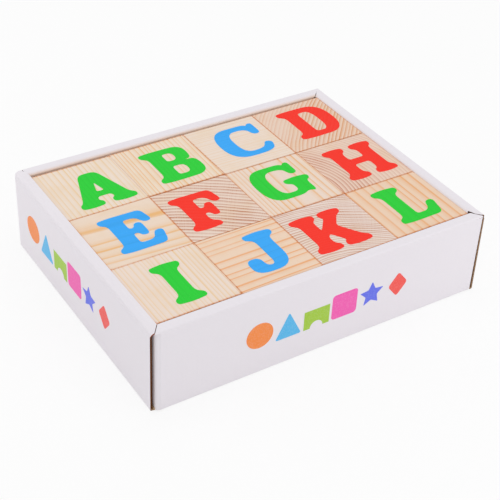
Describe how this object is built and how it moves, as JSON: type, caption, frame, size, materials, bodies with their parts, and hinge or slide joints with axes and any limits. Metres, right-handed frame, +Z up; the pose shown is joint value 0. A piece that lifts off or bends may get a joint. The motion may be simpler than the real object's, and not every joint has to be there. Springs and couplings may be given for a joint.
{
  "type": "boxed alphabet block set",
  "caption": "Pine cubes printed with coloured alphabet letters, standing in rows in a shallow white folded-cardboard tray with double walls; each cube lifts out.",
  "frame": {"origin": "on the table plane under the middle of the tray", "axes": "+Z up, +X along the tray's long side, -Y towards the front long wall; the letters stand upright for a reader at the front"},
  "size_m": [0.1718, 0.134, 0.0422],
  "materials": {
    "pine": "sanded, unvarnished",
    "white_board": "white coated liner on fine corrugated board",
    "green_ink": "flat ink",
    "blue_ink": "flat ink",
    "red_ink": "flat ink"
  },
  "bodies": {
    "tray": {"tray_floor": "white_board", "front_outer_wall": "white_board", "back_outer_wall": "white_board", "left_outer_wall": "white_board", "right_outer_wall": "white_board", "front_rim": "white_board", "back_rim": "white_board", "left_rim": "white_board", "right_rim": "white_board", "front_inner_wall": "white_board", "back_inner_wall": "white_board", "left_inner_wall": "white_board", "right_inner_wall": "white_board", "front_left_flap": "white_board", "front_right_flap": "white_board", "back_left_flap": "white_board", "back_right_flap": "white_board"},
    "cube_a": {"block_a": "pine", "letter_a": "green_ink"},
    "cube_b": {"block_b": "pine", "letter_b": "green_ink"},
    "cube_c": {"block_c": "pine", "letter_c": "blue_ink"},
    "cube_d": {"block_d": "pine", "letter_d": "red_ink"},
    "cube_e": {"block_e": "pine", "letter_e": "blue_ink"},
    "cube_f": {"block_f": "pine", "letter_f": "red_ink"},
    "cube_g": {"block_g": "pine", "letter_g": "green_ink"},
    "cube_h": {"block_h": "pine", "letter_h": "red_ink"},
    "cube_i": {"block_i": "pine", "letter_i": "green_ink"},
    "cube_j": {"block_j": "pine", "letter_j": "blue_ink"},
    "cube_k": {"block_k": "pine", "letter_k": "red_ink"},
    "cube_l": {"block_l": "pine", "letter_l": "green_ink"}
  },
  "joints": [
    {"name": "lift_a", "type": "slide", "parent": "tray", "child": "cube_a", "axis": [0, 0, 1], "range_m": [0, 0.06]},
    {"name": "lift_b", "type": "slide", "parent": "tray", "child": "cube_b", "axis": [0, 0, 1], "range_m": [0, 0.06]},
    {"name": "lift_c", "type": "slide", "parent": "tray", "child": "cube_c", "axis": [0, 0, 1], "range_m": [0, 0.06]},
    {"name": "lift_d", "type": "slide", "parent": "tray", "child": "cube_d", "axis": [0, 0, 1], "range_m": [0, 0.06]},
    {"name": "lift_e", "type": "slide", "parent": "tray", "child": "cube_e", "axis": [0, 0, 1], "range_m": [0, 0.06]},
    {"name": "lift_f", "type": "slide", "parent": "tray", "child": "cube_f", "axis": [0, 0, 1], "range_m": [0, 0.06]},
    {"name": "lift_g", "type": "slide", "parent": "tray", "child": "cube_g", "axis": [0, 0, 1], "range_m": [0, 0.06]},
    {"name": "lift_h", "type": "slide", "parent": "tray", "child": "cube_h", "axis": [0, 0, 1], "range_m": [0, 0.06]},
    {"name": "lift_i", "type": "slide", "parent": "tray", "child": "cube_i", "axis": [0, 0, 1], "range_m": [0, 0.06]},
    {"name": "lift_j", "type": "slide", "parent": "tray", "child": "cube_j", "axis": [0, 0, 1], "range_m": [0, 0.06]},
    {"name": "lift_k", "type": "slide", "parent": "tray", "child": "cube_k", "axis": [0, 0, 1], "range_m": [0, 0.06]},
    {"name": "lift_l", "type": "slide", "parent": "tray", "child": "cube_l", "axis": [0, 0, 1], "range_m": [0, 0.06]}
  ]
}
